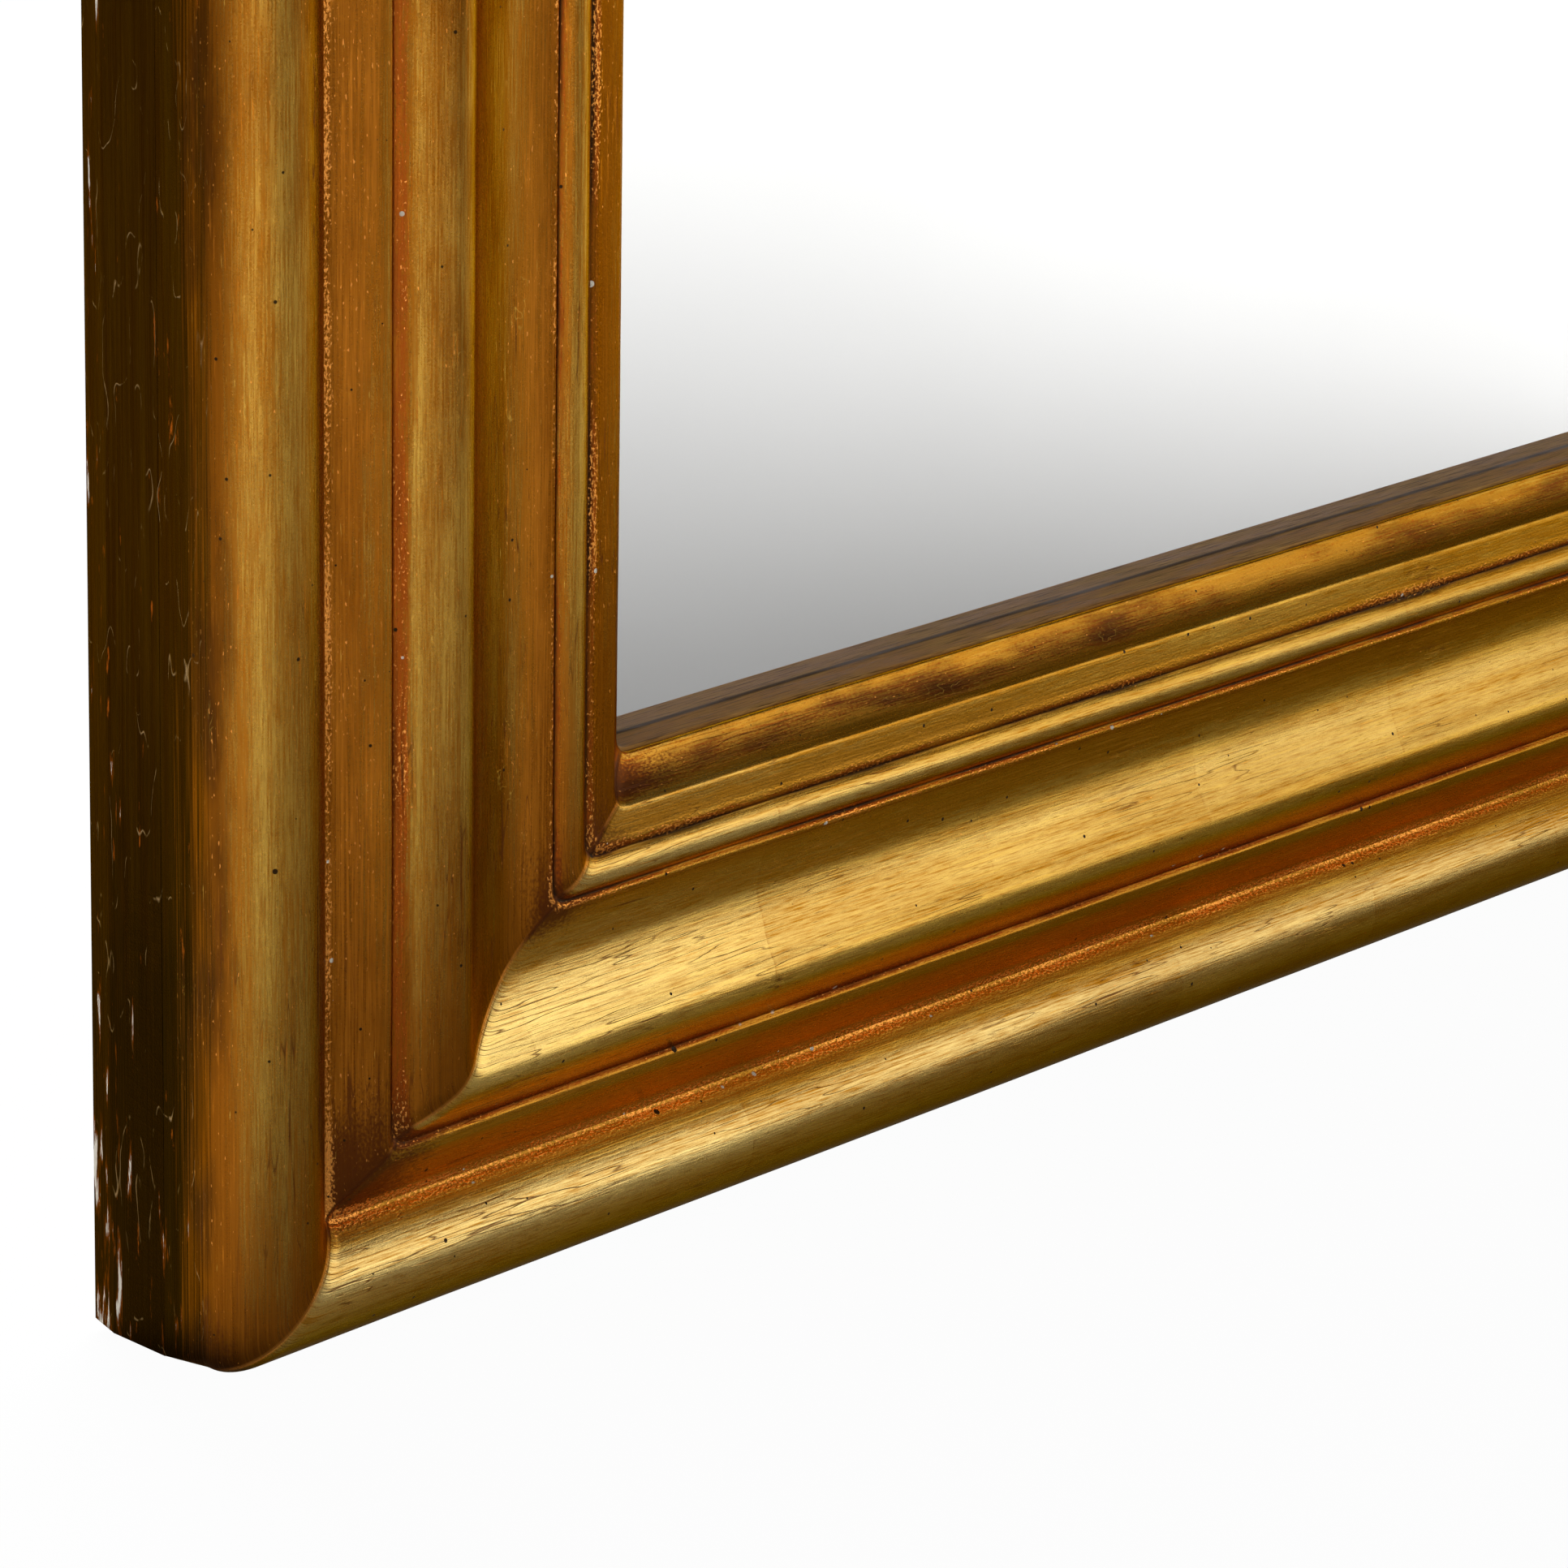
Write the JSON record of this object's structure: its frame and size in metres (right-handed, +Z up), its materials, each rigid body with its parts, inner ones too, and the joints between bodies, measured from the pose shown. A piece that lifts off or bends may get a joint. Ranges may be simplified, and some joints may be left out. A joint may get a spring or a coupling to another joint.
{
  "type": "gilt wall mirror",
  "caption": "Rectangular wall mirror in a wide gilded wooden frame with a roll, ogee and bead moulding, backboards and ring hangers behind.",
  "frame": {"origin": "middle of the back of the mirror, in the plane of the wall that the pads touch", "axes": "+Z up, +Y from the mirror into the wall, so the mirror faces -Y; +X to a viewer's right"},
  "size_m": [1, 0.07, 1.4],
  "materials": {
    "gilding": "worn leaf gilding over red bole and gesso on softwood",
    "slip_paint": "dull grey-brown toned slip",
    "back_frame_pine": "planed and aged pine",
    "backboard_pine": "sawn and aged pine",
    "block_pine": "sawn pine",
    "dowel_beech": "beech end grain",
    "mirror": "silvered plate glass",
    "hanger_iron": "bright-rolled iron gone dull",
    "screw_steel": "dull steel",
    "cork": "pressed cork"
  },
  "bodies": {
    "frame": {"left_outer_moulding": "gilding", "left_inner_moulding": "gilding", "right_outer_moulding": "gilding", "right_inner_moulding": "gilding", "top_outer_moulding": "gilding", "top_inner_moulding": "gilding", "bottom_outer_moulding": "gilding", "bottom_inner_moulding": "gilding", "left_slip": "slip_paint", "right_slip": "slip_paint", "top_slip": "slip_paint", "bottom_slip": "slip_paint", "left_back_stile": "back_frame_pine", "right_back_stile": "back_frame_pine", "top_back_rail": "back_frame_pine", "bottom_back_rail": "back_frame_pine", "bottom_backboard": "backboard_pine", "lower_backboard": "backboard_pine", "middle_backboard": "backboard_pine", "upper_backboard": "backboard_pine", "top_backboard": "backboard_pine", "left_hanger_strap": "hanger_iron", "right_hanger_strap": "hanger_iron", "lap_dowels": "dowel_beech", "mirror_plate": "mirror", "plate_blocks": "block_pine", "backboard_screws": "screw_steel", "hanger_screws": "screw_steel", "wall_pads": "cork"},
    "left_ring": {"left_hanger_ring": "hanger_iron"},
    "right_ring": {"right_hanger_ring": "hanger_iron"}
  },
  "joints": [
    {"name": "left_ring_swing", "type": "hinge", "parent": "frame", "child": "left_ring", "pos_m": [-0.41, -0.0042, 0.35], "axis": [0, 0, 1], "range_deg": [-8, 172]},
    {"name": "right_ring_swing", "type": "hinge", "parent": "frame", "child": "right_ring", "pos_m": [0.41, -0.0042, 0.35], "axis": [0, 0, -1], "range_deg": [-8, 172]}
  ]
}
